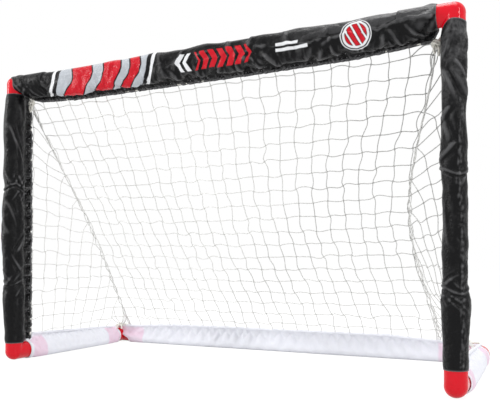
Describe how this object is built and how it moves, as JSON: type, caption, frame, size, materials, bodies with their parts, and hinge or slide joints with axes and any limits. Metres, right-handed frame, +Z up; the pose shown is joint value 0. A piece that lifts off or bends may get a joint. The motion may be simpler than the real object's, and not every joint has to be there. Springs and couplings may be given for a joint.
{
  "type": "hockey goal net",
  "caption": "Free-standing small hockey goal: push-fit tube frame with corner elbows, black and white cloth sleeves, and a laced knotted net sloping from crossbar to back bar.",
  "frame": {"origin": "on the floor, at the centre of the goal's outline seen from above", "axes": "+X to the right along the crossbar as a shooter sees it, +Y from the mouth towards the back bar, +Z up"},
  "size_m": [0.718, 0.3226, 0.4627],
  "materials": {
    "red_plastic": "gloss moulded",
    "white_plastic": "extruded",
    "black_cloth": "woven nylon with a slight sheen, puckered hem",
    "white_cloth": "thin woven polyester",
    "net_twine": "knotted twine",
    "cord": "braided cord"
  },
  "bodies": {
    "root": {"top_left_elbow": "red_plastic", "top_right_elbow": "red_plastic", "front_left_elbow": "red_plastic", "front_right_elbow": "red_plastic", "back_left_elbow": "red_plastic", "back_right_elbow": "red_plastic", "crossbar_tube_left": "white_plastic", "crossbar_tube_right": "white_plastic", "crossbar_joiner": "white_plastic", "left_post_tube": "white_plastic", "right_post_tube": "white_plastic", "left_side_tube": "white_plastic", "right_side_tube": "white_plastic", "back_tube_left": "white_plastic", "back_tube_right": "white_plastic", "back_joiner": "white_plastic", "crossbar_sleeve": "black_cloth", "left_post_sleeve": "black_cloth", "right_post_sleeve": "black_cloth", "left_side_sleeve": "white_cloth", "right_side_sleeve": "white_cloth", "back_sleeve": "white_cloth", "crossbar_hem_cord": "cord", "left_post_hem_cord": "cord", "right_post_hem_cord": "cord", "left_side_hem_cord": "cord", "right_side_hem_cord": "cord", "back_hem_cord": "cord", "top_left_tie": "cord", "top_right_tie": "cord", "back_left_tie": "cord", "back_right_tie": "cord", "back_net": "net_twine", "left_side_net": "net_twine", "right_side_net": "net_twine", "left_lacing": "cord", "right_lacing": "cord"}
  },
  "joints": []
}
